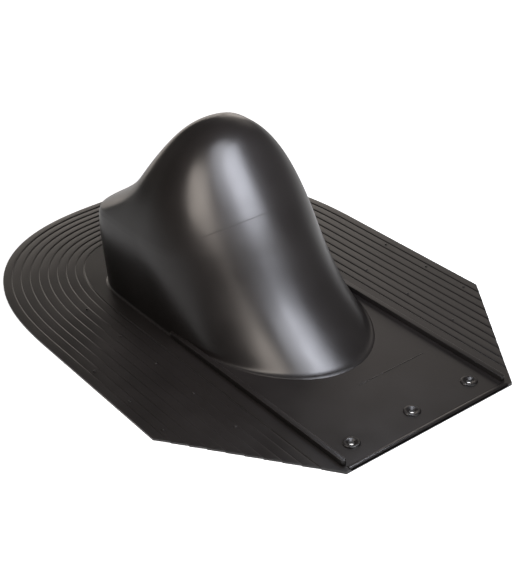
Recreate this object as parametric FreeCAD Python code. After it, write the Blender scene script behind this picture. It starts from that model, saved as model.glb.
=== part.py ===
"""Pipe flashing boot: one moulded sheet of black plastic for a pitched roof.

A thin ribbed flange carries a hollow hood that leans up the slope.  A round
sleeve in the hidden rear face of the hood takes the pipe.  Millimetres, +Z up
from the roof, +Y up the slope, origin under the middle of the flange.
"""
import FreeCAD, Part
import math
import os

Vector = FreeCAD.Vector

# --- Flange plan ------------------------------------------------------------
FLANGE_WIDTH = 400.0
SIDE_LENGTH = 193.0            # straight part of each long side
CHAMFER_LENGTH = 146.0         # length down the slope of each cut front corner
FRONT_WIDTH = 199.0            # short front edge between the cut corners
REAR_DEPTH = 234.0             # rounded rear end, from the straight sides back
REAR_EXPONENT = 2.51           # a little squarer than an ellipse

HALF_WIDTH = FLANGE_WIDTH / 2
FLANGE_LENGTH = REAR_DEPTH + SIDE_LENGTH + CHAMFER_LENGTH
REAR_TIP = FLANGE_LENGTH / 2
SIDE_TOP = REAR_TIP - REAR_DEPTH      # where the sides meet the rounded end
SIDE_FOOT = SIDE_TOP - SIDE_LENGTH
FRONT_EDGE = -FLANGE_LENGTH / 2

# --- Flange section ---------------------------------------------------------
SHEET = 2.0                    # thickness of the ribbed wings
STEP = 0.8                     # how far each strip rises before it drops
STRIP_COUNT = 9
STRIP_PITCH = 9.8
PLATE = SHEET + STEP           # flat panel and ring round the hood
RIBBED_WIDTH = STRIP_COUNT * STRIP_PITCH

REAR_POINTS = 32               # points that carry each curve round the rear end
OVERRUN = 20.0                 # strips run this far past the front edge, then are trimmed
MARGIN = 1.0                   # cutting shapes reach this far past what they cut

# --- Upstands beside the front panel ----------------------------------------
UPSTAND_OUTER = 98.0           # outer face from the centre line
UPSTAND_THICKNESS = 5.6
UPSTAND_HEIGHT = 8.4
UPSTAND_FOOT = FRONT_EDGE + 7.0
UPSTAND_HEAD = 0.0             # hidden inside the hood's side wall

LIP_WIDTH = 5.0                # rounded strip along the front edge
LIP_HEIGHT = 1.0

# --- Fixing bosses and nail marks -------------------------------------------
BOSS_X = 71.0
BOSS_FROM_EDGE = 27.0
BOSS_RADIUS = 7.6
BOSS_HEIGHT = 1.4
BOSS_HOLE_RADIUS = 2.6
BOSS_SINK_RADIUS = 5.2

MARK_RADIUS = 1.3
MARK_HEIGHT = 0.6
INNER_MARK_X = 134.0
OUTER_MARK_X = 186.0
INNER_MARKS = (86.0, 20.0, -44.0, -108.0, -174.0)
OUTER_MARKS = (-16.0, -80.0, -136.0)

# --- Hood -------------------------------------------------------------------
WALL = 3.0
HOOD_TOP = 198.0
HOOD_HALF_WIDTH = 95.0
HOOD_FRONT = -176.0            # foot of the leaning front
HOOD_REAR = 139.5              # upright rear wall
FOOT_LEAN = 24.5               # degrees from the flange, at the foot of the front
UPPER_LEAN = 56.8              # the front has steepened to this at SWEEP_HEIGHT
SWEEP_HEIGHT = 121.0
SWEEP_POWER = 3                # how early the front steepens
CROWN_RADIUS = 37.5
REAR_LEAN = 53.8               # degrees, from the crown down to the shoulder
SHOULDER_HEIGHT = 86.0         # top of the rear wall
SHOULDER_SWEEP = 192.0         # mm2, hollow curve from the rear face to the shoulder
SHOULDER_ROUND = 6.0
NARROWING_HEIGHT = 61.5        # the side walls are upright below this
NARROWING_POWER = 1.74
BELLY_FOOT = -22.0             # widest point of the leaning front at the flange
BELLY_CLIMB = 1.25             # how fast it moves up the slope with height
BELLY_DRIFT = 0.055            # how far it lies behind the crown, for each mm below it
BELLY_EASING = 6.0             # blends the climb into the drift
CORNER_START = 75.0            # where the sides turn into the rear corners
CORNER_EXPONENT = 4.85         # squareness of the rear corners below the shoulder
CORNER_EASING = 3.0            # they are round at a third of the way from shoulder to crown
CORNER_SHARE = 0.3             # least share of a ring's length that its rear corners take
FOOT_FILLET = 3.0

# --- Rings that carry the hood's skin ---------------------------------------
END_POINTS = 16                # points round each end of a ring
SIDE_POINTS = 3                # points along each straight side
BODY_ROWS = 14
FILLET_SHARES = (0.0, 0.15, 0.4, 1.0)
SHOULDER_RISES = (0.5, 1.0, 2.0, 3.5, 6.0, 9.0)
CAVITY_FOOT = -8.0             # the hollow runs out below the flange

# --- Pipe sleeve ------------------------------------------------------------
PIPE_RADIUS = 56.0             # clear bore for a 110 mm pipe
SLEEVE_WALL = 3.0
SLEEVE_TILT = 45.0             # pipe axis from the vertical, up the slope
SLEEVE_HEIGHT = 128.0          # where the axis leaves the rear face
SLEEVE_DEPTH = 26.0


def signed_power(value, power):
    return math.copysign(abs(value) ** power, value)


# --- Flange -----------------------------------------------------------------
def rail(inset, height, foot):
    """U-shaped wire that keeps a constant distance inside the flange's edge."""
    half = HALF_WIDTH - inset
    points = []
    for i in range(REAR_POINTS + 1):
        angle = math.pi * i / REAR_POINTS
        x = HALF_WIDTH * signed_power(math.cos(angle), 2 / REAR_EXPONENT)
        y = REAR_DEPTH * abs(math.sin(angle)) ** (2 / REAR_EXPONENT)
        normal = Vector(signed_power(x / HALF_WIDTH, REAR_EXPONENT - 1) / HALF_WIDTH,
                        (y / REAR_DEPTH) ** (REAR_EXPONENT - 1) / REAR_DEPTH, 0)
        normal.normalize()
        points.append(Vector(x, SIDE_TOP + y, height) - normal * inset)
    arc = Part.BSplineCurve()
    arc.interpolate(Points=points, InitialTangent=Vector(0, 1, 0), FinalTangent=Vector(0, -1, 0))
    right = Part.makeLine(Vector(half, foot, height), points[0])
    left = Part.makeLine(points[-1], Vector(-half, foot, height))
    return Part.Wire([right, arc.toShape(), left])


def solid_from_faces(faces):
    shell = Part.makeShell(faces)
    shell.sewShape()
    solid = Part.makeSolid(shell)
    if solid.Volume < 0:
        solid.reverse()
    return solid


def strip(outer_inset, inner_inset, rise):
    """One ribbed strip: a sheet that climbs inwards by rise."""
    foot = FRONT_EDGE - OVERRUN
    rails = [rail(outer_inset, 0, foot), rail(outer_inset, SHEET, foot),
             rail(inner_inset, SHEET + rise, foot), rail(inner_inset, rise, foot)]
    faces = []
    for start, end in zip(rails, rails[1:] + rails[:1]):
        faces += Part.makeRuledSurface(start, end).Faces
    for end in (0, -1):
        corners = [wire.OrderedVertexes[end].Point for wire in rails]
        faces.append(Part.Face(Part.makePolygon(corners + corners[:1])))
    return solid_from_faces(faces)


def plan_face(inset, height):
    wire = rail(inset, height, FRONT_EDGE - OVERRUN)
    ends = [wire.OrderedVertexes[0].Point, wire.OrderedVertexes[-1].Point]
    return Part.Face(Part.Wire(wire.Edges + [Part.makeLine(ends[1], ends[0])]))


def outline_prism(height):
    """The straight-edged part of the outline, with its two cut corners."""
    front = FRONT_WIDTH / 2
    side = HALF_WIDTH + MARGIN
    rear = REAR_TIP + MARGIN
    corners = [(-side, SIDE_FOOT), (-front, FRONT_EDGE), (front, FRONT_EDGE),
               (side, SIDE_FOOT), (side, rear), (-side, rear)]
    points = [Vector(x, y, -MARGIN) for x, y in corners]
    face = Part.Face(Part.makePolygon(points + points[:1]))
    return face.extrude(Vector(0, 0, height + 2 * MARGIN))


def make_flange():
    strips = []
    for i in range(STRIP_COUNT):
        strips.append(strip(i * STRIP_PITCH, (i + 1) * STRIP_PITCH, STEP))
    plate = plan_face(RIBBED_WIDTH, 0).extrude(Vector(0, 0, PLATE))
    panel = Part.makeBox(2 * UPSTAND_OUTER, SIDE_TOP - FRONT_EDGE, PLATE,
                         Vector(-UPSTAND_OUTER, FRONT_EDGE, 0))
    flange = strips[0].multiFuse(strips[1:] + [plate, panel])
    return flange.common(outline_prism(PLATE)).removeSplitter()


def make_upstand(side):
    """Rib with a rounded foot beside the front panel; side is -1 or 1."""
    radius = UPSTAND_THICKNESS / 2
    x = side * (UPSTAND_OUTER - radius)
    foot = UPSTAND_FOOT + radius
    bar = Part.makeBox(UPSTAND_THICKNESS, UPSTAND_HEAD - foot, UPSTAND_HEIGHT,
                       Vector(x - radius, foot, 0))
    end = Part.makeCylinder(radius, UPSTAND_HEIGHT, Vector(x, foot, 0))
    return bar.fuse(end).removeSplitter()


def make_front_lip():
    length = FRONT_WIDTH - 2 * LIP_WIDTH
    radius = (LIP_WIDTH ** 2 / 4 + LIP_HEIGHT ** 2) / (2 * LIP_HEIGHT)
    y = FRONT_EDGE + LIP_WIDTH / 2
    rod = Part.makeCylinder(radius, length, Vector(-length / 2, y, PLATE + LIP_HEIGHT - radius),
                            Vector(1, 0, 0))
    strip_box = Part.makeBox(length, LIP_WIDTH, LIP_HEIGHT + SHEET,
                             Vector(-length / 2, FRONT_EDGE, PLATE - SHEET))
    return rod.common(strip_box)


def boss_places():
    return [Vector(x, FRONT_EDGE + BOSS_FROM_EDGE, 0) for x in (-BOSS_X, 0.0, BOSS_X)]


def make_boss(place):
    """Low round pad that tapers a little towards its top."""
    base = Part.makeCone(BOSS_RADIUS + BOSS_HEIGHT / 2, BOSS_RADIUS - BOSS_HEIGHT / 4,
                         BOSS_HEIGHT, place + Vector(0, 0, PLATE))
    return base.fuse(Part.makeCylinder(BOSS_RADIUS, PLATE, place))


def make_boss_cut(place):
    """Screw hole with its countersink."""
    sink = Part.makeCone(BOSS_HOLE_RADIUS, BOSS_SINK_RADIUS, BOSS_HEIGHT,
                         place + Vector(0, 0, PLATE))
    hole = Part.makeCylinder(BOSS_HOLE_RADIUS, PLATE + BOSS_HEIGHT + 2 * MARGIN,
                             place - Vector(0, 0, MARGIN))
    return sink.fuse(hole)


def make_marks():
    """Small round marks on the wings where nails may go."""
    marks = []
    for x, rows in ((INNER_MARK_X, INNER_MARKS), (OUTER_MARK_X, OUTER_MARKS)):
        for y in rows:
            for side in (-1, 1):
                marks.append(Part.makeCylinder(MARK_RADIUS, PLATE + MARK_HEIGHT - SHEET / 2,
                                               Vector(side * x, y, SHEET / 2)))
    return marks


# --- Hood -------------------------------------------------------------------
def front_line(z):
    """Leaning front at height z: it steepens from the foot and is straight above."""
    upper = 1 / math.tan(math.radians(UPPER_LEAN))
    foot = 1 / math.tan(math.radians(FOOT_LEAN))
    left = max(1 - z / SWEEP_HEIGHT, 0.0) ** (SWEEP_POWER + 1)
    return HOOD_FRONT + z * upper + (foot - upper) * SWEEP_HEIGHT / (SWEEP_POWER + 1) * (1 - left)


def side_profile(z):
    """Front and rear of the hood on its middle plane at height z."""
    front_lean = math.radians(UPPER_LEAN)
    rear_lean = math.radians(REAR_LEAN)
    centre_z = HOOD_TOP - CROWN_RADIUS
    front_tangent = centre_z + CROWN_RADIUS * math.cos(front_lean)
    rear_tangent = centre_z + CROWN_RADIUS * math.cos(rear_lean)
    centre_y = front_line(front_tangent) + CROWN_RADIUS * math.sin(front_lean)
    chord = math.sqrt(max(CROWN_RADIUS ** 2 - (z - centre_z) ** 2, 0.0))
    front = centre_y - chord if z > front_tangent else front_line(z)
    if z > rear_tangent:
        rear = centre_y + chord
    else:
        rear = (centre_y + CROWN_RADIUS * math.sin(rear_lean)
                + (rear_tangent - z) / math.tan(rear_lean))
    if z <= SHOULDER_HEIGHT:
        return front, HOOD_REAR
    gap = HOOD_REAR - rear - SHOULDER_SWEEP / (z - SHOULDER_HEIGHT)
    return front, HOOD_REAR - (gap + math.hypot(gap, SHOULDER_ROUND)) / 2


def foot_flare(z):
    """How far the foot fillet spreads the hood at height z."""
    depth = min(max(PLATE + FOOT_FILLET - z, 0.0), FOOT_FILLET)
    return FOOT_FILLET - math.sqrt(FOOT_FILLET ** 2 - depth ** 2)


def belly_line(z, front):
    """Widest point of the hood at height z; front is the leaning front there."""
    climbing = min(BELLY_FOOT + BELLY_CLIMB * z, (front + HOOD_REAR) / 2)
    drifting = side_profile(HOOD_TOP)[0] + BELLY_DRIFT * (HOOD_TOP - z)
    return (climbing + drifting - math.hypot(climbing - drifting, BELLY_EASING)) / 2


def hood_contour(z):
    """Closed ring of points round the hood at height z, from the left side forwards."""
    flare = foot_flare(z)
    front, rear = side_profile(z)
    climb = min(max((z - NARROWING_HEIGHT) / (HOOD_TOP - NARROWING_HEIGHT), 0.0), 1.0)
    half = HOOD_HALF_WIDTH * math.sqrt(1 - climb ** NARROWING_POWER) + flare
    belly = belly_line(z, front)
    corner = max(min(max(CORNER_START, belly), rear - CORNER_SHARE * (rear - front)), belly)
    above = max((z - SHOULDER_HEIGHT) / (HOOD_TOP - SHOULDER_HEIGHT), 0.0)
    roundness = min(above * CORNER_EASING, 1.0)
    power = 2 / (CORNER_EXPONENT + (2 - CORNER_EXPONENT) * roundness)
    ring = []
    for i in range(END_POINTS):
        angle = math.pi * i / END_POINTS - math.pi / 2
        ring.append(Vector(half * math.sin(angle),
                           belly - (belly - front + flare) * math.cos(angle), z))
    for i in range(SIDE_POINTS):
        ring.append(Vector(half, belly + (corner - belly) * i / SIDE_POINTS, z))
    for i in range(END_POINTS):
        angle = math.pi / 2 - math.pi * i / END_POINTS
        ring.append(Vector(half * signed_power(math.sin(angle), power),
                           corner + (rear - corner + flare) * math.cos(angle) ** power, z))
    for i in range(SIDE_POINTS):
        ring.append(Vector(-half, corner + (belly - corner) * i / SIDE_POINTS, z))
    return ring


def hood_levels(lowest):
    """Heights of the rings, close together at the foot, the shoulder and the crown."""
    levels = [lowest]
    for share in FILLET_SHARES:
        levels.append(PLATE + FOOT_FILLET * share)
    for i in range(BODY_ROWS):
        left = 1 - (i + 1) / (BODY_ROWS + 1)
        levels.append(HOOD_TOP * (1 - left ** 2))
    for rise in SHOULDER_RISES:
        levels.append(SHOULDER_HEIGHT + rise)
    return sorted(levels)


def inset_rings(rings, wall):
    """The same net moved inwards; its lowest ring stays level."""
    moved = []
    for row, ring in enumerate(rings):
        below = rings[max(row - 1, 0)]
        above = rings[min(row + 1, len(rings) - 1)]
        new_ring = []
        for i, point in enumerate(ring):
            along = ring[(i + 1) % len(ring)] - ring[i - 1]
            normal = along.cross(above[i] - below[i])
            normal.normalize()
            if row == 0:
                level = Vector(normal.x, normal.y, 0)
                new_ring.append(point - level * (wall / level.Length ** 2))
            else:
                new_ring.append(point - normal * wall)
        moved.append(new_ring)
    return moved


def solid_from_rings(rings, peak):
    """Smooth closed solid over the rings: flat underneath, one peak on top."""
    count = len(rings[0])
    rings = rings + [[peak] * count]
    poles = [[ring[i] for ring in rings] for i in range(count)]
    spans = len(rings) - 3
    surface = Part.BSplineSurface()
    surface.buildFromPolesMultsKnots(poles, [1] * (count + 1), [4] + [1] * (spans - 1) + [4],
                                     list(range(count + 1)), list(range(spans + 1)),
                                     True, False, 3, 3)
    skin = surface.toShape()
    lowest = rings[0][0].z
    rim = [edge for edge in skin.Edges
           if not edge.Degenerated and abs(edge.BoundBox.ZMax - lowest) < 0.01
           and edge.BoundBox.ZLength < 0.01]
    return solid_from_faces([skin, Part.Face(Part.Wire(rim))])


def make_hood(lowest, wall):
    """The hood's outer shape moved inwards by wall, from lowest to the crown."""
    rings = [hood_contour(z) for z in hood_levels(lowest)]
    if wall:
        rings = inset_rings(rings, wall)
    front, rear = side_profile(HOOD_TOP)
    return solid_from_rings(rings, Vector(0, (front + rear) / 2, HOOD_TOP - wall))


# --- Pipe sleeve ------------------------------------------------------------
def sleeve_cylinder(radius):
    """Round bar on the pipe axis, from the sleeve's inner end out past the rear face."""
    tilt = math.radians(SLEEVE_TILT)
    axis = Vector(0, math.sin(tilt), math.cos(tilt))
    mouth = Vector(0, side_profile(SLEEVE_HEIGHT)[1], SLEEVE_HEIGHT)
    return Part.makeCylinder(radius, SLEEVE_DEPTH + HOOD_TOP, mouth - axis * SLEEVE_DEPTH, axis)


def make_sleeve():
    """Collar inside the hood; it ends halfway through the rear wall."""
    return sleeve_cylinder(PIPE_RADIUS + SLEEVE_WALL).common(make_hood(0.0, WALL / 2))


def make_boot():
    """The whole boot as one hollow solid."""
    flange = make_flange()
    outer = make_hood(0.0, 0.0)
    inner = make_hood(CAVITY_FOOT, WALL)
    extras = [make_upstand(side) for side in (-1, 1)] + [make_front_lip()]
    extras += [make_boss(place) for place in boss_places()] + make_marks()
    boot = flange.multiFuse([outer] + extras)
    boot = boot.cut(inner).fuse(make_sleeve())
    cuts = [make_boss_cut(place) for place in boss_places()]
    return boot.cut([sleeve_cylinder(PIPE_RADIUS)] + cuts)


if __name__ == "__main__":
    os.makedirs("parts", exist_ok=True)
    boot = make_boot()
    boot.exportStep("parts/flashing_boot.step")
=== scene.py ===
"""Looks of the pipe flashing boot: one black plastic moulding on a pale studio floor.

The moulding is rebuilt here as fine meshes that stand for the CAD solid: the ribbed
flange, the hollow hood with its pipe sleeve, the upstands, the front lip, the fine
line on the front panel, the screw bosses and the nail marks. Metres, +Z up from the
roof, +Y up the slope.
"""

import logging
import math
from dataclasses import dataclass, field
from enum import Enum

import bmesh
import bpy
import numpy as np
from mathutils import Matrix, Vector

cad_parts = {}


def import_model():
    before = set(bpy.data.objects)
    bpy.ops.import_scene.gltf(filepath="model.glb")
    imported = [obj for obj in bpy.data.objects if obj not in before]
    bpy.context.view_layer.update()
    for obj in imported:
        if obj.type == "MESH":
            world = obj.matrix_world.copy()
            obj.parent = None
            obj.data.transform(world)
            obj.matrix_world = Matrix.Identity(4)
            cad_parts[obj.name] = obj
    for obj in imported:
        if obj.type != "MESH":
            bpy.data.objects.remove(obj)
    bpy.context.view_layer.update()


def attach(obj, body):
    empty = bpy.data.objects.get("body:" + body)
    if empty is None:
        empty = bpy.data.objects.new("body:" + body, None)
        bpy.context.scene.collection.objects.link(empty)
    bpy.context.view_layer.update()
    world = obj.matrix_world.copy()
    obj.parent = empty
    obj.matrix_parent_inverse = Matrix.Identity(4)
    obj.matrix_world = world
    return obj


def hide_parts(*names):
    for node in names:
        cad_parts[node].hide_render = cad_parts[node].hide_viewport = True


log = logging.getLogger("flashing_boot")

ROOT_BODY = "root"
CAD_NODE = "flashing_boot"
MM = 0.001
MERGE_DISTANCE = 1e-6


# --- Small helpers ----------------------------------------------------------
def srgb(hex_colour: str) -> tuple[float, float, float, float]:
    """Turn an sRGB hex colour into the linear values that a shader takes.

    Args:
        hex_colour: Six hex digits, with or without a leading hash.

    Returns:
        Linear red, green, blue and an alpha of 1.
    """
    digits = hex_colour.lstrip("#")
    parts = [int(digits[i:i + 2], 16) / 255 for i in (0, 2, 4)]
    linear = [p / 12.92 if p <= 0.04045 else ((p + 0.055) / 1.055) ** 2.4 for p in parts]
    return (*linear, 1.0)


def signed_power(value: float, power: float) -> float:
    """Raise a number's size to a power and keep its sign."""
    return math.copysign(abs(value) ** power, value)


def blend_value(start: float, end: float, share: float) -> float:
    """Go from start to end by a share from 0 to 1."""
    return start + (end - start) * share


def turns_round(count: int) -> list[float]:
    """Evenly spaced angles round a full circle, in radians."""
    return [2 * math.pi * i / count for i in range(count)]


def direction(azimuth: float, elevation: float) -> Vector:
    """Direction from the boot towards a lamp or the camera.

    Args:
        azimuth: Degrees round the boot, to the right of straight down the slope.
        elevation: Degrees above the roof.

    Returns:
        A unit vector.
    """
    turn, rise = math.radians(azimuth), math.radians(elevation)
    return Vector((math.sin(turn) * math.cos(rise), -math.cos(turn) * math.cos(rise),
                   math.sin(rise)))


def put_in_scene(thing: bpy.types.Object) -> None:
    """Link a new object to the scene."""
    bpy.context.scene.collection.objects.link(thing)


def add_node(tree: bpy.types.NodeTree, kind: str, settings: dict | None = None,
             inputs: dict | None = None) -> bpy.types.Node:
    """Add a node with its settings and links.

    Args:
        tree: The shader or geometry tree.
        kind: The node's type name.
        settings: Properties to set on the node.
        inputs: Input name or index to a value, or to an output socket to link.

    Returns:
        The new node.
    """
    node = tree.nodes.new(kind)
    for name, value in (settings or {}).items():
        setattr(node, name, value)
    for name, value in (inputs or {}).items():
        if isinstance(value, bpy.types.NodeSocket):
            tree.links.new(value, node.inputs[name])
        else:
            node.inputs[name].default_value = value
    return node


# --- Finish -----------------------------------------------------------------
@dataclass(frozen=True)
class MouldedPolypropylene:
    """Black polypropylene, injection moulded against a fine spark-eroded tool.

    The tool leaves a soft satin: highlights are broad with no mirror edge, and the
    melt's flow leaves wide, very faint changes of gloss. Where the tool's insert meets
    its body, a thin witness line crosses the front of the hood.

    Args:
        name: The material's name.
        base: Colour of the plastic.
        faded: Its colour where the flow has left it palest.
        roughness: Middle of the surface's roughness.
        gloss_change: Difference in roughness between the dullest and glossiest flow.
        ior: Refractive index of polypropylene.
        flow_size: Width of the flow's changes.
        flow_range: Part of the flow's noise that takes up the whole change of gloss.
        grain_size: Width of the eroded grain. The real one, about 0.1 mm, is too fine
            to show, so it is drawn this coarse.
        grain_depth: Depth of the grain.
        grain_strength: Strength of the grain's bump.
        seam_normal: Direction square to the plane of the witness line.
        seam_offset: Distance of that plane from the origin.
        seam_span: X of the line's two ends.
        seam_solid: Share of the line's length that keeps its full height.
        seam_floor: Height below which there is no line.
        seam_width: Width of the line's lower edge.
        seam_fade: Width over which its upper side runs out.
        seam_depth: Height of the line.
    """

    name: str = "moulded_polypropylene"
    base: str = "#171514"
    faded: str = "#1f1c1b"
    roughness: float = 0.33
    gloss_change: float = 0.10
    ior: float = 1.49
    flow_size: float = 60 * MM
    flow_range: tuple[float, float] = (0.3, 0.7)
    grain_size: float = 0.9 * MM
    grain_depth: float = 0.012 * MM
    grain_strength: float = 0.35
    seam_normal: tuple[float, float, float] = (0.0, 0.5225, 0.8526)
    seam_offset: float = 76.7 * MM
    seam_span: tuple[float, float] = (-68 * MM, 33 * MM)
    seam_solid: float = 0.7
    seam_floor: float = 60 * MM
    seam_width: float = 0.9 * MM
    seam_fade: float = 14 * MM
    seam_depth: float = 0.07 * MM

    def seam(self, tree: bpy.types.NodeTree, place: bpy.types.NodeSocket) -> bpy.types.NodeSocket:
        """Draw the witness line that the tool's insert leaves across the hood.

        Args:
            tree: The material's node tree.
            place: Object coordinates.

        Returns:
            1 on the line, 0 below it, and fading out above it and at its two ends.
        """
        across = add_node(tree, "ShaderNodeVectorMath", {"operation": "DOT_PRODUCT"}, {
            0: place, 1: self.seam_normal}).outputs["Value"]
        axes = add_node(tree, "ShaderNodeSeparateXYZ", {}, {"Vector": place})
        middle = sum(self.seam_span) / 2
        reach = (self.seam_span[1] - self.seam_span[0]) / 2
        shift = add_node(tree, "ShaderNodeMath", {"operation": "SUBTRACT"}, {
            0: axes.outputs["X"], 1: middle})
        aside = add_node(tree, "ShaderNodeMath", {"operation": "ABSOLUTE"}, {0: shift.outputs[0]})
        half = self.seam_width / 2
        height = add_node(tree, "ShaderNodeMath", {"operation": "GREATER_THAN"}, {
            0: axes.outputs["Z"], 1: self.seam_floor}).outputs[0]
        for value, start, end, low, high in (
                (across, self.seam_offset - half, self.seam_offset + half, 0.0, 1.0),
                (across, self.seam_offset, self.seam_offset + self.seam_fade, 1.0, 0.0),
                (aside.outputs[0], reach * self.seam_solid, reach, 1.0, 0.0)):
            share = add_node(tree, "ShaderNodeMapRange", {"interpolation_type": "SMOOTHSTEP"}, {
                "Value": value, "From Min": start, "From Max": end,
                "To Min": low, "To Max": high})
            height = add_node(tree, "ShaderNodeMath", {"operation": "MULTIPLY"}, {
                0: height, 1: share.outputs["Result"]}).outputs[0]
        return height

    def build(self) -> bpy.types.Material:
        """Make the material.

        Returns:
            A node material that reads Object coordinates.
        """
        material = bpy.data.materials.new(self.name)
        material.use_nodes = True
        tree = material.node_tree
        tree.nodes.clear()
        place = add_node(tree, "ShaderNodeTexCoord").outputs["Object"]
        flow = add_node(tree, "ShaderNodeTexNoise", {}, {
            "Vector": place, "Scale": 1 / self.flow_size, "Detail": 3.0, "Roughness": 0.5})
        grain = add_node(tree, "ShaderNodeTexNoise", {}, {
            "Vector": place, "Scale": 1 / self.grain_size, "Detail": 2.0, "Roughness": 0.6})
        colour = add_node(tree, "ShaderNodeMix", {"data_type": "RGBA"}, {
            "Factor": flow.outputs["Fac"], "A": srgb(self.base), "B": srgb(self.faded)})
        gloss = add_node(tree, "ShaderNodeMapRange", {}, {
            "Value": flow.outputs["Fac"],
            "From Min": self.flow_range[0], "From Max": self.flow_range[1],
            "To Min": self.roughness - self.gloss_change / 2,
            "To Max": self.roughness + self.gloss_change / 2})
        line = add_node(tree, "ShaderNodeBump", {}, {
            "Strength": 1.0, "Distance": self.seam_depth, "Height": self.seam(tree, place)})
        bump = add_node(tree, "ShaderNodeBump", {}, {
            "Strength": self.grain_strength, "Distance": self.grain_depth,
            "Height": grain.outputs["Fac"], "Normal": line.outputs["Normal"]})
        shader = add_node(tree, "ShaderNodeBsdfPrincipled", {}, {
            "Base Color": colour.outputs["Result"], "Roughness": gloss.outputs["Result"],
            "Normal": bump.outputs["Normal"], "IOR": self.ior})
        add_node(tree, "ShaderNodeOutputMaterial", {}, {"Surface": shader.outputs["BSDF"]})
        return material


# --- Meshes -----------------------------------------------------------------
Ring = list[Vector]  # a closed ring, or any row of points


class Side(Enum):
    """Which side of the centre line, as the sign of X."""

    RIGHT = 1
    LEFT = -1


def mesh_object(name: str, points: Ring, faces: list[tuple[int, ...]],
                material: bpy.types.Material, sharp_deg: float = 30.0) -> bpy.types.Object:
    """Make a smooth-shaded closed piece at the origin with its place in its mesh.

    Args:
        name: The piece's name.
        points: Corners in metres.
        faces: Corner indices of each face.
        material: Its finish.
        sharp_deg: Edges that turn by more than this stay crisp.

    Returns:
        The linked object, with its faces turned outwards.
    """
    mesh = bpy.data.meshes.new(name)
    mesh.from_pydata([tuple(p) for p in points], [], faces)
    work = bmesh.new()
    work.from_mesh(mesh)
    bmesh.ops.remove_doubles(work, verts=work.verts, dist=MERGE_DISTANCE)
    bmesh.ops.recalc_face_normals(work, faces=work.faces)
    work.to_mesh(mesh)
    work.free()
    mesh.shade_smooth()
    mesh.set_sharp_from_angle(angle=math.radians(sharp_deg))
    mesh.materials.append(material)
    piece = bpy.data.objects.new(name, mesh)
    put_in_scene(piece)
    return piece


def loft(rings: list[Ring], closed_ends: bool = True) -> tuple[Ring, list[tuple[int, ...]]]:
    """Join rings of equal length with quads.

    Args:
        rings: Closed rings of points, one after another.
        closed_ends: Whether the first and last ring are capped with one face each.

    Returns:
        The points and the faces.
    """
    count = len(rings[0])
    points = [point for ring in rings for point in ring]
    faces = []
    for row in range(len(rings) - 1):
        for i in range(count):
            after = (i + 1) % count
            a = row * count
            faces.append((a + i, a + after, a + count + after, a + count + i))
    if closed_ends:
        last = (len(rings) - 1) * count
        faces.append(tuple(range(count)))
        faces.append(tuple(last + i for i in reversed(range(count))))
    return points, faces


def lathe(profile: list[tuple[float, float]], around: int, centre: Vector) -> list[Ring]:
    """Turn a profile about a vertical line.

    Args:
        profile: Radius and height of each ring.
        around: Points in a ring.
        centre: Foot of the line.

    Returns:
        One ring for each point of the profile.
    """
    return [[centre + Vector((radius * math.cos(t), radius * math.sin(t), height))
             for t in turns_round(around)] for radius, height in profile]


def use_evaluated_mesh(piece: bpy.types.Object) -> None:
    """Keep the result of a piece's modifiers as its own mesh.

    Args:
        piece: The piece to change.
    """
    graph = bpy.context.evaluated_depsgraph_get()
    mesh = bpy.data.meshes.new_from_object(piece.evaluated_get(graph))
    piece.modifiers.clear()
    piece.data = mesh


def boolean(piece: bpy.types.Object, tool: bpy.types.Object, operation: str) -> None:
    """Join or cut a closed piece with another, which is then removed.

    Args:
        piece: The piece to change.
        tool: The closed piece to join or cut with.
        operation: "UNION" or "DIFFERENCE".
    """
    modifier = piece.modifiers.new("join_or_cut", "BOOLEAN")
    modifier.operation = operation
    modifier.solver = "EXACT"
    modifier.use_self = True
    modifier.object = tool
    use_evaluated_mesh(piece)
    bpy.data.objects.remove(tool)


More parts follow.
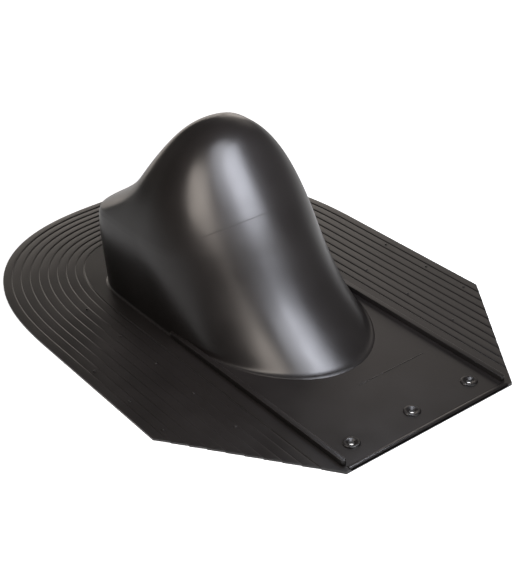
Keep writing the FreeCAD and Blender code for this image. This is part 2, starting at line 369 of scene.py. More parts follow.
# --- Flange -----------------------------------------------------------------
@dataclass
class RibbedFlange:
    """The thin sheet that lies on the roof, with strips parallel to its edge.

    Args:
        width: Overall width.
        side_length: Straight part of each long side.
        chamfer_length: Length down the slope of each cut front corner.
        front_width: Short front edge between the cut corners.
        rear_depth: Rounded rear end, from the straight sides back.
        rear_exponent: Roundness of the rear end; 2 is an ellipse.
        sheet: Thickness of each strip.
        step: How far each strip rises inwards before it drops.
        strip_count: Number of strips.
        strip_pitch: Width of each strip.
        crest_width: Width of the rounded top edge of each step.
        crest_drop: Height of that rounded edge.
        crest_facets: Facets of that rounded edge.
        groove: Width of the groove between the last strip and the flat ring.
        tuck: Share by which the upper edge of the opening under the hood is drawn in,
            so that it ends inside the hood's wall.
        rear_stations: Steps of each strip round the rear end.
        side_stations: Steps of each strip along a side.
    """

    width: float = 400 * MM
    side_length: float = 193 * MM
    chamfer_length: float = 146 * MM
    front_width: float = 199 * MM
    rear_depth: float = 234 * MM
    rear_exponent: float = 2.51
    sheet: float = 2.0 * MM
    step: float = 0.8 * MM
    strip_count: int = 9
    strip_pitch: float = 9.8 * MM
    crest_width: float = 1.7 * MM
    crest_drop: float = 0.6 * MM
    crest_facets: int = 5
    groove: float = 1.0 * MM
    tuck: float = 0.02
    rear_stations: int = 128
    side_stations: int = 8

    @property
    def length(self) -> float:
        """Overall length up the slope."""
        return self.rear_depth + self.side_length + self.chamfer_length

    @property
    def side_top(self) -> float:
        """Where the straight sides meet the rounded end."""
        return self.length / 2 - self.rear_depth

    @property
    def side_foot(self) -> float:
        """Where the straight sides meet the cut corners."""
        return self.side_top - self.side_length

    @property
    def front_edge(self) -> float:
        """The short front edge."""
        return -self.length / 2

    @property
    def plate(self) -> float:
        """Thickness of the flat panel and of the ring round the hood."""
        return self.sheet + self.step

    def chamfer_y(self, x: float) -> float:
        """Where the cut corner's edge is at a distance from the centre line."""
        share = (self.width / 2 - x) / (self.width / 2 - self.front_width / 2)
        return self.side_foot - self.chamfer_length * share

    def rail(self, inset: float) -> list[tuple[float, float]]:
        """U-shaped path that keeps a constant distance inside the flange's edge.

        Args:
            inset: Distance from the edge.

        Returns:
            Plan points from the right cut corner round the rear to the left one.
        """
        half = self.width / 2
        x_side = half - inset
        y_foot = self.chamfer_y(x_side)
        side = [(x_side, blend_value(y_foot, self.side_top, i / self.side_stations))
                for i in range(self.side_stations)]
        bend = []
        for i in range(self.rear_stations + 1):
            angle = math.pi * i / self.rear_stations
            x = half * signed_power(math.cos(angle), 2 / self.rear_exponent)
            y = self.rear_depth * abs(math.sin(angle)) ** (2 / self.rear_exponent)
            normal = Vector((signed_power(x / half, self.rear_exponent - 1) / half,
                             (y / self.rear_depth) ** (self.rear_exponent - 1) / self.rear_depth))
            normal.normalize()
            bend.append((x - normal.x * inset, self.side_top + y - normal.y * inset))
        return side + bend + [(-x, y) for x, y in reversed(side)]

    def section(self) -> list[tuple[float, float]]:
        """Work out the closed saw-tooth section of the wings.

        Returns:
            Inset from the edge and height of each corner.
        """
        top, under = [], []
        for i in range(self.strip_count):
            outer = i * self.strip_pitch
            inner = outer + self.strip_pitch
            top.append((outer, self.sheet))
            under += [(outer, 0.0), (inner, self.step)]
            crest = inner if i < self.strip_count - 1 else inner - self.groove
            start = self.plate - self.step * (inner - crest + self.crest_width) / self.strip_pitch
            for k in range(self.crest_facets + 1):
                angle = math.pi / 2 * k / self.crest_facets
                top.append((crest - self.crest_width * (1 - math.sin(angle)),
                            start - self.crest_drop * (1 - math.cos(angle))))
        top.append((self.strip_count * self.strip_pitch, self.plate))
        under.append((self.strip_count * self.strip_pitch, 0.0))
        return top + list(reversed(under))

    def wings(self, material: bpy.types.Material) -> bpy.types.Object:
        """Sweep the saw-tooth section round the U and close its two cut ends.

        Args:
            material: The plastic.

        Returns:
            The ribbed wings.
        """
        section = self.section()
        rails = [self.rail(inset) for inset, _ in section]
        rings = [[Vector((*rail[station], height)) for rail, (_, height) in zip(rails, section)]
                 for station in range(len(rails[0]))]
        return mesh_object("ribbed_wings", *loft(rings), material, sharp_deg=25)

    def panel(self, foot: Ring, bosses: "ScrewBosses",
              material: bpy.types.Material) -> bpy.types.Object:
        """Make the flat panel and the ring round the hood, open under the hood.

        Args:
            foot: The hood's outer edge at the roof.
            bosses: The screw bosses, which need their own openings.
            material: The plastic.

        Returns:
            The flat panel.
        """
        inner = self.rail(self.strip_count * self.strip_pitch)
        edge = inner + [(-self.front_width / 2, self.front_edge),
                        (self.front_width / 2, self.front_edge)]
        centre = sum(foot, Vector()) / len(foot)
        loops = [([Vector((x, y, 0)) for x, y in edge], 1.0, Vector()),
                 ([Vector((p.x, p.y, 0)) for p in foot], 1 - self.tuck,
                  Vector((0, centre.y, 0)))]
        loops += [(lathe([(bosses.opening, 0)], bosses.around // 2, place)[0], 1.0, Vector())
                  for place in bosses.places(self)]
        points, faces, upper, lower = [], [], [], []
        for loop, shrink, middle in loops:
            start, count = len(points), len(loop)
            points += loop
            points += [middle + (p - middle) * shrink + Vector((0, 0, self.plate)) for p in loop]
            for i in range(count):
                after = (i + 1) % count
                lower.append((start + i, start + after))
                upper.append((start + count + i, start + count + after))
                faces.append((start + i, start + after, start + count + after, start + count + i))
        work = bmesh.new()
        corners = [work.verts.new(p) for p in points]
        for face in faces:
            work.faces.new([corners[i] for i in face])
        for pairs in (lower, upper):
            edges = [work.edges.get((corners[a], corners[b])) for a, b in pairs]
            bmesh.ops.triangle_fill(work, edges=edges, use_beauty=True)
        work.verts.index_update()
        points = [vert.co.copy() for vert in work.verts]
        faces = [tuple(vert.index for vert in face.verts) for face in work.faces]
        work.free()
        return mesh_object("flat_panel", points, faces, material, sharp_deg=25)


# --- Hood -------------------------------------------------------------------
@dataclass
class Hood:
    """Hollow hood that leans up the slope, as a smooth skin over level rings.

    Args:
        plate: Thickness of the flange round the hood.
        wall: Wall thickness.
        top: Height of the crown.
        half_width: Half the width of the upright side walls.
        front: Foot of the leaning front.
        rear: The upright rear wall.
        foot_lean: Slope of the front at its foot, in degrees from the flange.
        upper_lean: The front has steepened to this at sweep_height.
        sweep_height: Height from which the front is straight.
        sweep_power: How early the front steepens.
        crown_radius: Radius of the crown on the middle plane.
        rear_lean: Slope from the crown down to the shoulder.
        shoulder_height: Top of the rear wall.
        shoulder_sweep: Hollow curve from the rear face to the shoulder, in m2.
        shoulder_round: Rounding of the shoulder's edge.
        narrowing_height: Where the side walls start to lean in.
        narrowing_power: How fast they lean in.
        belly_foot: Widest point of the front at the flange.
        belly_climb: How fast the widest point moves up the slope with height.
        belly_drift: How far the widest point lies behind the crown, for each unit below it.
        belly_easing: Blends the climb into the drift.
        corner_start: Where the sides turn into the rear corners.
        corner_share: Share of the hood's length that the rear corners take at least.
        corner_exponent: Squareness of the rear corners below the shoulder.
        corner_easing: How fast they become round above it.
        foot_fillet: Fillet where the hood meets the flange.
        fillet_shares: Heights of the rings on the fillet, as shares of it.
        shoulder_rises: Heights of the rings above the shoulder.
        body_rows: Rings from the flange to the crown.
        ring_points: Points of a ring round the front, and again round the rear.
        side_points: Points of a ring along each side.
        around: Points round the finished skin.
        up: Rows of the finished skin from the foot to the crown.
        sharp_deg: Edges that turn by more than this stay crisp.
    """

    plate: float
    wall: float = 3 * MM
    top: float = 198 * MM
    half_width: float = 95 * MM
    front: float = -176 * MM
    rear: float = 139.5 * MM
    foot_lean: float = 24.5
    upper_lean: float = 56.8
    sweep_height: float = 121 * MM
    sweep_power: int = 3
    crown_radius: float = 37.5 * MM
    rear_lean: float = 53.8
    shoulder_height: float = 86 * MM
    shoulder_sweep: float = 192 * MM * MM
    shoulder_round: float = 6 * MM
    narrowing_height: float = 61.5 * MM
    narrowing_power: float = 1.74
    belly_foot: float = -22 * MM
    belly_climb: float = 1.25
    belly_drift: float = 0.055
    belly_easing: float = 6 * MM
    corner_start: float = 75 * MM
    corner_share: float = 0.3
    corner_exponent: float = 4.85
    corner_easing: float = 3
    foot_fillet: float = 3 * MM
    fillet_shares: tuple[float, ...] = (0, 0.15, 0.4, 1)
    shoulder_rises: tuple[float, ...] = (0.5 * MM, 1 * MM, 2 * MM, 3.5 * MM, 6 * MM, 9 * MM)
    body_rows: int = 14
    ring_points: int = 16
    side_points: int = 3
    around: int = 228
    up: int = 150
    sharp_deg: float = 40

    def front_line(self, z: float) -> float:
        """Follow the leaning front, which steepens from the foot and is straight above.

        Args:
            z: Height.

        Returns:
            Its place up the slope.
        """
        upper = 1 / math.tan(math.radians(self.upper_lean))
        foot = 1 / math.tan(math.radians(self.foot_lean))
        power = self.sweep_power + 1
        left = max(1 - z / self.sweep_height, 0.0) ** power
        return self.front + z * upper + (foot - upper) * self.sweep_height / power * (1 - left)

    def profile(self, z: float) -> tuple[float, float]:
        """Work out the hood's outline on its middle plane.

        Args:
            z: Height.

        Returns:
            Places of the front and of the rear up the slope.
        """
        front_lean, rear_lean = math.radians(self.upper_lean), math.radians(self.rear_lean)
        radius = self.crown_radius
        centre_z = self.top - radius
        front_tangent = centre_z + radius * math.cos(front_lean)
        rear_tangent = centre_z + radius * math.cos(rear_lean)
        centre_y = self.front_line(front_tangent) + radius * math.sin(front_lean)
        chord = math.sqrt(max(radius ** 2 - (z - centre_z) ** 2, 0.0))
        front = centre_y - chord if z > front_tangent else self.front_line(z)
        rear = centre_y + chord
        if z <= rear_tangent:
            rear = (centre_y + radius * math.sin(rear_lean)
                    + (rear_tangent - z) / math.tan(rear_lean))
        if z <= self.shoulder_height:
            return front, self.rear
        gap = self.rear - rear - self.shoulder_sweep / (z - self.shoulder_height)
        return front, self.rear - (gap + math.hypot(gap, self.shoulder_round)) / 2

    def flare(self, z: float) -> float:
        """Work out how far the foot fillet spreads the hood.

        Args:
            z: Height.

        Returns:
            The spread on each side, 0 above the fillet.
        """
        if z >= self.plate + self.foot_fillet:
            return 0.0
        depth = min(self.plate + self.foot_fillet - z, self.foot_fillet)
        return self.foot_fillet - math.sqrt(self.foot_fillet ** 2 - depth ** 2)

    def belly_line(self, z: float, front: float) -> float:
        """Find where the hood is widest.

        Args:
            z: Height.
            front: The leaning front's place at that height.

        Returns:
            Place of the widest point up the slope.
        """
        climbing = min(self.belly_foot + self.belly_climb * z, (front + self.rear) / 2)
        drifting = self.profile(self.top)[0] + self.belly_drift * (self.top - z)
        return (climbing + drifting - math.hypot(climbing - drifting, self.belly_easing)) / 2

    def contour(self, z: float) -> Ring:
        """Lay a closed ring round the hood.

        Args:
            z: Height.

        Returns:
            The ring's points, from the left side forwards.
        """
        front, rear = self.profile(z)
        climb = min(max((z - self.narrowing_height) / (self.top - self.narrowing_height), 0), 1)
        half = self.half_width * math.sqrt(1 - climb ** self.narrowing_power) + self.flare(z)
        belly = self.belly_line(z, front)
        corner = max(min(max(self.corner_start, belly),
                         rear - self.corner_share * (rear - front)), belly)
        above = max((z - self.shoulder_height) / (self.top - self.shoulder_height), 0.0)
        power = 2 / blend_value(self.corner_exponent, 2, min(above * self.corner_easing, 1.0))
        front, rear = front - self.flare(z), rear + self.flare(z)
        shares = [i / self.side_points for i in range(self.side_points)]
        ring = []
        for i in range(self.ring_points):
            angle = math.pi * i / self.ring_points - math.pi / 2
            ring.append(Vector((half * math.sin(angle),
                                belly - (belly - front) * math.cos(angle), z)))
        ring += [Vector((half, blend_value(belly, corner, share), z)) for share in shares]
        for i in range(self.ring_points):
            angle = math.pi / 2 - math.pi * i / self.ring_points
            ring.append(Vector((half * signed_power(math.sin(angle), power),
                                corner + (rear - corner) * math.cos(angle) ** power, z)))
        return ring + [Vector((-half, blend_value(corner, belly, share), z))
                       for share in shares]

    def levels(self) -> list[float]:
        """List the heights of the rings.

        Returns:
            Rising heights, close together at the foot, the shoulder and the crown.
        """
        foot = [0.0] + [self.plate + self.foot_fillet * share for share in self.fillet_shares]
        body = [self.top * (1 - (1 - (i + 1) / (self.body_rows + 1)) ** 2)
                for i in range(self.body_rows)]
        edge = [self.shoulder_height + rise for rise in self.shoulder_rises]
        return sorted(foot + body + edge)

    def moved_in(self, rings: list[Ring], depth: float) -> list[Ring]:
        """Move a net of rings inwards along its normals.

        Args:
            rings: The net, from the foot up.
            depth: How far it moves.

        Returns:
            The moved rings; the lowest one stays level.
        """
        moved = []
        for row, ring in enumerate(rings):
            below, above = rings[max(row - 1, 0)], rings[min(row + 1, len(rings) - 1)]
            new_ring = []
            for i, point in enumerate(ring):
                along = ring[(i + 1) % len(ring)] - ring[i - 1]
                normal = along.cross(above[i] - below[i]).normalized()
                if row == 0:
                    normal = Vector((normal.x, normal.y, 0))
                    normal = normal / normal.length_squared
                new_ring.append(point - normal * depth)
            moved.append(new_ring)
        return moved

    def skin(self, depth: float, up: int) -> list[Ring]:
        """Evaluate the smooth skin at a depth below the outer surface.

        Args:
            depth: Distance inside the outer surface.
            up: Number of rows between the foot and the crown.

        Returns:
            Dense rings from the foot to just under the peak, then the peak.
        """
        rings = [self.contour(z) for z in self.levels()]
        if depth:
            rings = self.moved_in(rings, depth)
        front, rear = self.profile(self.top)
        peak = Vector((0, (front + rear) / 2, self.top - depth))
        count = len(rings[0])
        net = np.array([[tuple(p) for p in ring] for ring in rings + [[peak] * count]])
        across = periodic_weights(count, self.around)
        along = clamped_weights(len(net), up)
        dense = np.einsum("rk,kcd,uc->rud", along, net, across)
        return [[Vector(p) for p in row] for row in dense]

    def build(self, sleeve: "PipeSleeve", material: bpy.types.Material) -> bpy.types.Object:
        """Make the hollow hood with its sleeve and the way through it.

        Args:
            sleeve: The pipe sleeve in the rear face.
            material: The plastic.

        Returns:
            The hood.
        """
        outer, inner = self.skin(0.0, self.up), self.skin(self.wall, self.up // 2)
        halfway = self.skin(self.wall / 2, self.up // 2)
        rings = list(reversed(inner)) + outer
        piece = mesh_object("hood", *loft(rings, closed_ends=False), material)
        middle = mesh_object("middle_skin", *loft(halfway, closed_ends=False), material)
        collar = sleeve.collar(middle, material)
        bpy.data.objects.remove(middle)
        boolean(piece, collar, "UNION")
        boolean(piece, sleeve.bar(sleeve.radius, self.top * 2, material), "DIFFERENCE")
        piece.data.shade_smooth()
        piece.data.set_sharp_from_angle(angle=math.radians(self.sharp_deg))
        return piece


def periodic_weights(poles: int, samples: int) -> np.ndarray:
    """Weigh the poles of a closed uniform cubic spline at evenly spaced places.

    Args:
        poles: Number of poles.
        samples: Number of places.

    Returns:
        One row of weights for each place.
    """
    weights = np.zeros((samples, poles))
    for row in range(samples):
        place = row * poles / samples
        start, f = int(place), place % 1
        shares = ((1 - f) ** 3, 3 * f ** 3 - 6 * f ** 2 + 4, -3 * f ** 3 + 3 * f ** 2 + 3 * f + 1,
                  f ** 3)
        for k, share in enumerate(shares):
            weights[row, (start + k - 1) % poles] += share / 6
    return weights


def clamped_weights(poles: int, samples: int) -> np.ndarray:
    """Weigh the poles of an open cubic spline that starts and ends on its end poles.

    Args:
        poles: Number of poles.
        samples: Number of evenly spaced places, both ends included.

    Returns:
        One row of weights for each place.
    """
    spans = poles - 3
    knots = np.concatenate([np.zeros(3), np.arange(spans + 1), np.full(3, spans)])
    places = np.linspace(0, spans, samples)
    basis = np.zeros((samples, len(knots) - 1))
    for row, place in enumerate(places):
        basis[row, min(int(place), spans - 1) + 3] = 1.0
    for degree in (1, 2, 3):
        grown = np.zeros((samples, basis.shape[1] - 1))
        for k in range(grown.shape[1]):
            left, right = knots[k + degree] - knots[k], knots[k + degree + 1] - knots[k + 1]
            if left > 0:
                grown[:, k] += (places - knots[k]) / left * basis[:, k]
            if right > 0:
                grown[:, k] += (knots[k + degree + 1] - places) / right * basis[:, k + 1]
        basis = grown
    return basis


# --- Pipe sleeve ------------------------------------------------------------
@dataclass
class PipeSleeve:
    """Collar inside the hood, round the pipe's way out through the rear face.

    Args:
        mouth: Where the pipe's axis leaves the rear face.
        radius: Clear bore.
        wall: Wall thickness of the collar.
        tilt: Pipe axis from the vertical, up the slope, in degrees.
        depth: How far the collar reaches in from the mouth, along the axis.
        overrun: How far the bar that bores it starts below its inner end.
        around: Points of a ring.
    """

    mouth: Vector
    radius: float = 56 * MM
    wall: float = 3 * MM
    tilt: float = 45.0
    depth: float = 26 * MM
    overrun: float = 1 * MM
    around: int = 96

    @property
    def axis(self) -> Vector:
        """Direction in which the pipe leaves."""
        tilt = math.radians(self.tilt)
        return Vector((0, math.sin(tilt), math.cos(tilt)))

    def circle(self, radius: float, along: float) -> Ring:
        """Lay a ring of points round the axis.

        Args:
            radius: The ring's radius.
            along: Its distance out from the mouth.

        Returns:
            The ring.
        """
        across = Vector((1, 0, 0))
        upright = self.axis.cross(across)
        centre = self.mouth + self.axis * along
        return [centre + (across * math.cos(t) + upright * math.sin(t)) * radius
                for t in turns_round(self.around)]

    def bar(self, radius: float, length: float,
            material: bpy.types.Material) -> bpy.types.Object:
        """Make the round bar that bores the collar and the hood.

        Args:
            radius: The bar's radius.
            length: How far it stands out from the mouth.
            material: The plastic, which the cut faces keep.

        Returns:
            The bar, which starts below the collar's inner end.
        """
        rings = [self.circle(radius, -self.depth - self.overrun), self.circle(radius, length)]
        return mesh_object("bore_bar", *loft(rings), material)

    def collar(self, wall_middle: bpy.types.Object,
               material: bpy.types.Material) -> bpy.types.Object:
        """Thick tube whose outer end follows the middle of the hood's wall.

        Args:
            wall_middle: Skin halfway through the hood's wall.
            material: The plastic.

        Returns:
            The tube; its bore is cut to size later, with the hood's.
        """
        feet = [self.circle(radius, -self.depth)
                for radius in (self.radius + self.wall, self.radius - self.wall / 2)]
        heads = []
        for foot in feet:
            head = []
            for point in foot:
                hit, place, _, _ = wall_middle.ray_cast(point, self.axis)
                if not hit:
                    raise RuntimeError("the collar misses the hood's wall")
                head.append(place)
            heads.append(head)
        rings = [feet[0], heads[0], heads[1], feet[1], feet[0]]
        return mesh_object("collar", *loft(rings, closed_ends=False), material)


# --- Details on the flange ---------------------------------------------------
@dataclass
class Upstand:
    """Low rib beside the front panel, rounded at both ends and along its top.

    Args:
        outer: Outer face from the centre line.
        thickness: Width of the rib.
        height: Height above the roof.
        foot_gap: Distance of the foot from the front edge.
        head: Where it ends beside the hood.
        edge: Radius of the top edges.
        end_facets: Facets of each rounded end.
        edge_facets: Facets of the rounded top edge.
    """

    outer: float = 98 * MM
    thickness: float = 5.6 * MM
    height: float = 8.4 * MM
    foot_gap: float = 7 * MM
    head: float = -14 * MM
    edge: float = 0.6 * MM
    end_facets: int = 16
    edge_facets: int = 4

    def outline(self, flange: RibbedFlange, side: Side, inset: float, height: float) -> Ring:
        """Lay the rib's plan outline at one level.

        Args:
            flange: The flange it stands on.
            side: Left or right.
            inset: How far the outline is moved inwards.
            height: Height of the level.

        Returns:
            The closed outline.
        """
        radius = self.thickness / 2 - inset
        x = side.value * (self.outer - self.thickness / 2)
        foot = flange.front_edge + self.foot_gap + self.thickness / 2
        head = self.head - self.thickness / 2
        ring = []
        for y, start in ((foot, 0.0), (head, math.pi)):
            for i in range(self.end_facets + 1):
                turn = math.pi + math.pi * i / self.end_facets + start
                ring.append(Vector((x + radius * math.cos(turn),
                                    y + radius * math.sin(turn), height)))
        return ring

    def build(self, flange: RibbedFlange, side: Side,
              material: bpy.types.Material) -> bpy.types.Object:
        """Make the rib on one side.

        Args:
            flange: The flange it stands on.
            side: Left or right.
            material: The plastic.

        Returns:
            The rib.
        """
        levels = [(0.0, flange.sheet / 2)]
        for i in range(self.edge_facets + 1):
            turn = math.pi / 2 * i / self.edge_facets
            levels.append((self.edge * (1 - math.cos(turn)),
                           self.height - self.edge * (1 - math.sin(turn))))
        rings = [self.outline(flange, side, inset, height) for inset, height in levels]
        return mesh_object(f"upstand_{side.name.lower()}", *loft(rings), material, sharp_deg=35)


def cross_bar(name: str, top: list[tuple[float, float]], ends: tuple[float, float],
              flange: RibbedFlange, material: bpy.types.Material) -> bpy.types.Object:
    """Make a straight bar that stands in the front panel, square to the slope.

    Args:
        name: The piece's name.
        top: Place up the slope and height of each corner of its upper side.
        ends: X of its two ends.
        flange: The flange it stands on.
        material: The plastic.

    Returns:
        The bar.
    """
    root = flange.sheet / 2
    section = top + [(top[-1][0], root), (top[0][0], root)]
    rings = [[Vector((x, y, z)) for y, z in section] for x in ends]
    return mesh_object(name, *loft(rings), material, sharp_deg=35)


@dataclass
class FrontLip:
    """Rounded strip along the front edge.

    Args:
        width: Width of the strip.
        height: Height above the panel.
        facets: Facets of its rounded top.
    """

    width: float = 5 * MM
    height: float = 1 * MM
    facets: int = 12

    def build(self, flange: RibbedFlange, material: bpy.types.Material) -> bpy.types.Object:
        """Make the strip between the cut corners.

        Args:
            flange: The flange it stands on.
            material: The plastic.

        Returns:
            The strip.
        """
        length = flange.front_width - 2 * self.width
        radius = (self.width ** 2 / 4 + self.height ** 2) / (2 * self.height)
        reach = math.asin(self.width / 2 / radius)
        arc = [blend_value(-reach, reach, i / self.facets) for i in range(self.facets + 1)]
        middle = flange.front_edge + self.width / 2
        top = [(middle + radius * math.sin(t),
                flange.plate + self.height - radius * (1 - math.cos(t))) for t in arc]
        return cross_bar("front_lip", top, (-length / 2, length / 2), flange, material)


@dataclass
class PanelLine:
    """Fine raised line across the flat front panel.

    Args:
        left: Its left end.
        right: Its right end.
        along: Its place up the slope.
        width: Width of its foot.
        height: Height above the panel.
        facets: Facets of its rounded top.
    """

    left: float = -10 * MM
    right: float = 71 * MM
    along: float = -198 * MM
    width: float = 1.2 * MM
    height: float = 0.3 * MM
    facets: int = 8

    def build(self, flange: RibbedFlange, material: bpy.types.Material) -> bpy.types.Object:
        """Make the line as a low rounded bar.

        Args:
            flange: The flange it stands on.
            material: The plastic.

        Returns:
            The line.
        """
        turns = [math.pi * i / self.facets for i in range(self.facets + 1)]
        top = [(self.along + self.width / 2 * math.cos(t),
                flange.plate + self.height * math.sin(t)) for t in turns]
        return cross_bar("panel_line", top, (self.left, self.right), flange, material)


def scatter_tree(name: str) -> bpy.types.NodeTree:
    """Make the geometry nodes that put one part on every point of their object.

    Args:
        name: The tree's name.

    Returns:
        A tree with the inputs Part, Turn, Seed and Finish.
    """
    tree = bpy.data.node_groups.new(name, "GeometryNodeTree")
    for label, kind in (("Geometry", "Geometry"), ("Part", "Object"), ("Turn", "Float"),
                        ("Seed", "Int"), ("Finish", "Material")):
        tree.interface.new_socket(label, in_out="INPUT", socket_type=f"NodeSocket{kind}")
    tree.interface.new_socket("Geometry", in_out="OUTPUT", socket_type="NodeSocketGeometry")
    given = add_node(tree, "NodeGroupInput").outputs
    part = add_node(tree, "GeometryNodeObjectInfo", {}, {"Object": given["Part"]})
    turn = add_node(tree, "FunctionNodeRandomValue", {"data_type": "FLOAT"}, {
        2: 0.0, 3: given["Turn"], "Seed": given["Seed"]})
    angles = add_node(tree, "ShaderNodeCombineXYZ", {}, {"Z": turn.outputs[1]})
    points = add_node(tree, "GeometryNodeMeshToPoints", {}, {"Mesh": given["Geometry"]})
    placed = add_node(tree, "GeometryNodeInstanceOnPoints", {}, {
        "Points": points.outputs[0], "Instance": part.outputs["Geometry"],
        "Rotation": angles.outputs[0]})
    real = add_node(tree, "GeometryNodeRealizeInstances", {}, {"Geometry": placed.outputs[0]})
    finished = add_node(tree, "GeometryNodeSetMaterial", {}, {
        "Geometry": real.outputs[0], "Material": given["Finish"]})
    add_node(tree, "NodeGroupOutput", {}, {"Geometry": finished.outputs[0]})
    return tree


def put_parts(name: str, part: bpy.types.Object, places: Ring, turn: float, seed: int,
              material: bpy.types.Material) -> bpy.types.Object:
    """Put one part at every place and keep the result as one mesh.

    Args:
        name: The new piece's name.
        part: The part, built at the origin; it is removed afterwards.
        places: Where the parts go.
        turn: Each part's largest turn about its own upright axis, in radians.
        seed: Seed of the turns.
        material: The finish.

    Returns:
        The piece with every part in it.
    """
    mesh = bpy.data.meshes.new(name)
    mesh.from_pydata([tuple(p) for p in places], [], [])
    piece = bpy.data.objects.new(name, mesh)
    put_in_scene(piece)
    tree = scatter_tree(f"{name}_places")
    modifier = piece.modifiers.new("places", "NODES")
    modifier.node_group = tree
    values = {"Part": part, "Turn": turn, "Seed": seed, "Finish": material}
    for item in tree.interface.items_tree:
        if item.in_out == "INPUT" and item.name in values:
            modifier[item.identifier] = values[item.name]
    use_evaluated_mesh(piece)
    bpy.data.objects.remove(part)
    return piece


@dataclass
class ScrewBosses:
    """Row of round countersunk bosses for roofing screws.

    Args:
        spacing: Distance between bosses.
        from_edge: Distance from the front edge.
        radius: Radius of the boss at half its height.
        height: Height above the panel.
        hole: Radius of the screw hole.
        sink: Radius of the countersink.
        opening: Radius of the opening that the panel leaves under each boss.
        softness: Size of the small bevels at its upper edges.
        seat: Where the boss's wide part starts, as a share of the panel's thickness.
        around: Points round a boss.
    """

    spacing: float = 71 * MM
    from_edge: float = 27 * MM
    radius: float = 7.6 * MM
    height: float = 1.4 * MM
    hole: float = 2.6 * MM
    sink: float = 5.2 * MM
    opening: float = 6 * MM
    softness: float = 0.25 * MM
    seat: float = 0.8
    around: int = 64

    def places(self, flange: RibbedFlange) -> Ring:
        """Centre of each boss on the roof."""
        y = flange.front_edge + self.from_edge
        return [Vector((x, y, 0)) for x in (-self.spacing, 0, self.spacing)]

    def build(self, flange: RibbedFlange, material: bpy.types.Material) -> bpy.types.Object:
        """Turn one boss and repeat it along the row.

        Args:
            flange: The flange the bosses stand on.
            material: The plastic.

        Returns:
            All three bosses.
        """
        soft, top = self.softness, flange.plate + self.height
        seat = flange.plate * self.seat
        foot, brow = self.radius + self.height / 2, self.radius - self.height / 4
        profile = [(self.hole, 0.0), (self.opening, 0.0), (self.opening, seat),
                   (foot, seat), (foot, flange.plate), (brow + soft, top - soft),
                   (brow - soft, top), (self.sink + soft, top),
                   (self.sink - soft, top - soft), (self.hole, flange.plate),
                   (self.hole, 0.0)]
        rings = lathe(profile, self.around, Vector())
        part = mesh_object("boss", *loft(rings, closed_ends=False), material, sharp_deg=40)
        return put_parts("screw_bosses", part, self.places(flange), turn=0.0, seed=1,
                         material=material)


@dataclass
class NailMarks:
    """Small round pimples that show where nails may go through the wings.

    Args:
        inner: Distance of the inner rows from the centre line.
        outer: Distance of the outer rows from the centre line.
        inner_rows: Places along the inner rows, in millimetres.
        outer_rows: Places along the outer rows, in millimetres.
        radius: Radius of each mark.
        height: Height above the panel's level.
        root: Height at which a mark starts, inside the wing.
        brow: Share of the radius that is left an eighth of the height below the top.
        tip: Share of the radius that is left at the top.
        around: Points round a mark.
    """

    inner: float = 134 * MM
    outer: float = 186 * MM
    inner_rows: tuple[float, ...] = (86, 20, -44, -108, -174)
    outer_rows: tuple[float, ...] = (-16, -80, -136)
    radius: float = 1.3 * MM
    height: float = 0.6 * MM
    root: float = 1 * MM
    brow: float = 0.75
    tip: float = 0.3
    around: int = 20

    def build(self, flange: RibbedFlange, material: bpy.types.Material) -> bpy.types.Object:
        """Turn one mark and repeat it along the four rows.

        Args:
            flange: The flange the marks stand on.
            material: The plastic.

        Returns:
            All marks.
        """
        head = flange.plate + self.height
        profile = [(self.radius, self.root), (self.radius, head - self.height / 2),
                   (self.radius * self.brow, head - self.height / 8),
                   (self.radius * self.tip, head)]
        rings = lathe(profile, self.around, Vector())
        part = mesh_object("mark", *loft(rings), material, sharp_deg=60)
        places = []
        for side in Side:
            places += [Vector((side.value * self.inner, y * MM, 0)) for y in self.inner_rows]
            places += [Vector((side.value * self.outer, y * MM, 0)) for y in self.outer_rows]
        return put_parts("nail_marks", part, places, turn=math.tau, seed=7, material=material)


# --- Studio -----------------------------------------------------------------
@dataclass(frozen=True)
class Softbox:
    """One soft lamp aimed at the boot.

    Args:
        name: The lamp's name.
        azimuth: Degrees round the boot, to the right of straight down the slope.
        elevation: Degrees above the roof.
        distance: Distance from the point it is aimed at.
        size: Width and height of its face.
        watts: Its power.
        colour: Colour of its light.
    """

    name: str
    azimuth: float
    elevation: float
    distance: float
    size: tuple[float, float]
    watts: float
    colour: str

    def build(self, target: Vector) -> None:
        """Place the lamp round the target.

        Args:
            target: The point it is aimed at.
        """
        data = bpy.data.lights.new(self.name, "AREA")
        data.shape = "RECTANGLE"
        data.size, data.size_y = self.size
        data.energy = self.watts
        data.color = srgb(self.colour)[:3]
        lamp = bpy.data.objects.new(self.name, data)
        away = direction(self.azimuth, self.elevation)
        lamp.location = target + away * self.distance
        lamp.rotation_euler = away.to_track_quat("Z", "Y").to_euler()
        lamp.visible_camera = False
        put_in_scene(lamp)


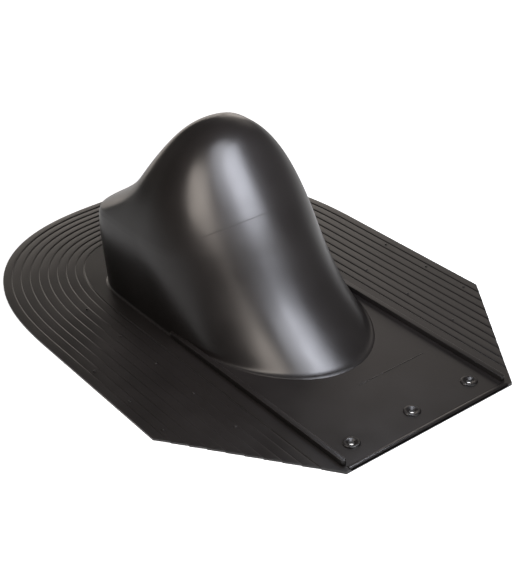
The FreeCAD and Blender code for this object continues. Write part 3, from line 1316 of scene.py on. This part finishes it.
@dataclass
class Studio:
    """Pale floor, even white surround, soft lamps and the camera.

    Args:
        camera_place: Where the camera stands.
        camera_azimuth: Degrees round the boot that it looks from, as for a lamp.
        camera_elevation: Degrees above the roof that it looks from.
        camera_roll: Degrees that it is turned about its line of sight.
        camera_lens: Focal length, in millimetres.
        camera_sensor: Width of the sensor, in millimetres.
        floor_colour: Colour of the floor's paint.
        floor_roughness: Roughness of the paint.
        floor_half: Distance from the middle of the floor to its sides.
        floor_glow: How white the floor looks to the camera beyond the light on it.
        floor_gleam: Share of that glow that shows in reflections.
        surround: Brightness of the surround that the camera sees.
        fill: Brightness of the even light from all round.
        aim: The point that the lamps are aimed at.
        lamps: The soft lamps.
    """

    camera_place: tuple[float, float, float] = (-0.6449, -0.9425, 0.7015)
    camera_azimuth: float = -35.20
    camera_elevation: float = 31.32
    camera_roll: float = -3.17
    camera_lens: float = 79.34
    camera_sensor: float = 36.0
    floor_colour: str = "#f2f2f2"
    floor_roughness: float = 0.9
    floor_half: float = 6.0
    floor_glow: float = 0.85
    floor_gleam: float = 0.5
    surround: float = 1.0
    fill: float = 0.08
    aim: tuple[float, float, float] = (0.0, -0.03, 0.12)
    lamps: list[Softbox] = field(default_factory=lambda: [
        Softbox("key_softbox", 15, 41, 0.22, (0.11, 0.11), 0.68, "#f0f3ff"),
        Softbox("left_softbox", -60, 34, 0.28, (0.15, 0.15), 0.62, "#fff4ea"),
        Softbox("top_softbox", -5, 52, 0.46, (0.22, 0.22), 1.4, "#f4f6ff"),
        Softbox("front_softbox", 10, 15, 1.23, (1.2, 0.5), 3.5, "#ffffff"),
        Softbox("back_softbox", 128, 24, 1.5, (1.0, 0.6), 1.3, "#fff4ea"),
        Softbox("rear_softbox", 165, 7, 1.5, (2.0, 0.4), 5.4, "#fff4ea"),
    ])

    def build(self) -> None:
        """Make the floor, the world, the lamps and the camera."""
        self.build_floor()
        self.build_world()
        for lamp in self.lamps:
            lamp.build(Vector(self.aim))
        self.build_camera()
        bpy.context.scene.view_settings.view_transform = "Standard"

    def build_floor(self) -> None:
        """Lay a wide pale floor that keeps the boot's shadow.

        Its glow is seen by the camera and, fainter, in reflections, and it sheds no
        light on the boot in any other way.
        """
        material = bpy.data.materials.new("matt_floor_paint")
        material.use_nodes = True
        tree = material.node_tree
        shader = tree.nodes["Principled BSDF"]
        shader.inputs["Base Color"].default_value = srgb(self.floor_colour)
        shader.inputs["Roughness"].default_value = self.floor_roughness
        rays = add_node(tree, "ShaderNodeLightPath")
        gleam = add_node(tree, "ShaderNodeMath", {"operation": "MULTIPLY"}, {
            0: rays.outputs["Is Glossy Ray"], 1: self.floor_gleam})
        seen = add_node(tree, "ShaderNodeMath", {"operation": "MAXIMUM"}, {
            0: rays.outputs["Is Camera Ray"], 1: gleam.outputs[0]})
        glow = add_node(tree, "ShaderNodeMath", {"operation": "MULTIPLY"}, {
            0: seen.outputs[0], 1: self.floor_glow})
        shader.inputs["Emission Color"].default_value = srgb("#ffffff")
        tree.links.new(glow.outputs[0], shader.inputs["Emission Strength"])
        corners = [Vector((x, y, 0)) * self.floor_half
                   for x, y in ((-1, -1), (1, -1), (1, 1), (-1, 1))]
        floor = mesh_object("studio_floor", corners, [(0, 1, 2, 3)], material)

    def build_world(self) -> None:
        """Light the boot faintly and evenly, and show white to the camera alone."""
        world = bpy.data.worlds.new("studio_surround")
        bpy.context.scene.world = world
        world.use_nodes = True
        tree = world.node_tree
        tree.nodes.clear()
        rays = add_node(tree, "ShaderNodeLightPath")
        light = add_node(tree, "ShaderNodeBackground", {}, {
            "Color": (1.0, 1.0, 1.0, 1.0), "Strength": self.fill})
        show = add_node(tree, "ShaderNodeBackground", {}, {
            "Color": (1.0, 1.0, 1.0, 1.0), "Strength": self.surround})
        mix = add_node(tree, "ShaderNodeMixShader", {}, {
            "Fac": rays.outputs["Is Camera Ray"], 1: light.outputs[0], 2: show.outputs[0]})
        add_node(tree, "ShaderNodeOutputWorld", {}, {"Surface": mix.outputs[0]})

    def build_camera(self) -> None:
        """Place the camera at the viewing angle."""
        back = direction(self.camera_azimuth, self.camera_elevation)
        right = Vector((0, 0, 1)).cross(back).normalized()
        up = back.cross(right)
        roll = math.radians(self.camera_roll)
        across = right * math.cos(roll) + up * math.sin(roll)
        upright = up * math.cos(roll) - right * math.sin(roll)
        data = bpy.data.cameras.new("studio_camera")
        data.sensor_width = self.camera_sensor
        data.lens = self.camera_lens
        camera = bpy.data.objects.new("studio_camera", data)
        matrix = Matrix((across, upright, back)).transposed().to_4x4()
        matrix.translation = Vector(self.camera_place)
        camera.matrix_world = matrix
        put_in_scene(camera)
        bpy.context.scene.camera = camera


@dataclass
class FlashingBoot:
    """The whole moulding: every sub-assembly in one shared frame.

    Args:
        flange: The ribbed flange.
        bosses: The screw bosses.
        marks: The nail marks.
        upstand: The upstand on either side.
        lip: The strip along the front edge.
        line: The fine line on the front panel.
        finish: The plastic.
        mouth_height: Height at which the pipe's axis leaves the rear face.
    """

    flange: RibbedFlange = field(default_factory=RibbedFlange)
    bosses: ScrewBosses = field(default_factory=ScrewBosses)
    marks: NailMarks = field(default_factory=NailMarks)
    upstand: Upstand = field(default_factory=Upstand)
    lip: FrontLip = field(default_factory=FrontLip)
    line: PanelLine = field(default_factory=PanelLine)
    finish: MouldedPolypropylene = field(default_factory=MouldedPolypropylene)
    mouth_height: float = 128 * MM

    def build(self) -> list[bpy.types.Object]:
        """Make every piece and let it stand for the CAD solid.

        Returns:
            The pieces.
        """
        plastic = self.finish.build()
        hood = Hood(self.flange.plate)
        foot = hood.skin(depth=0.0, up=2)[0]
        mouth = Vector((0, hood.profile(self.mouth_height)[1], self.mouth_height))
        pieces = [hood.build(PipeSleeve(mouth), plastic),
                  self.flange.wings(plastic),
                  self.flange.panel(foot, self.bosses, plastic),
                  self.lip.build(self.flange, plastic),
                  self.line.build(self.flange, plastic),
                  self.bosses.build(self.flange, plastic),
                  self.marks.build(self.flange, plastic)]
        pieces += [self.upstand.build(self.flange, side, plastic) for side in Side]
        for piece in pieces:
            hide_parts(CAD_NODE)
            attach(piece, ROOT_BODY)
        return pieces


def main() -> None:
    """Build the boot and the studio."""
    logging.basicConfig(level=logging.INFO, format="%(name)s: %(message)s")
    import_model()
    for piece in FlashingBoot().build():
        log.info("%s: %d faces", piece.name, len(piece.data.polygons))
    Studio().build()


if __name__ == "__main__":
    main()
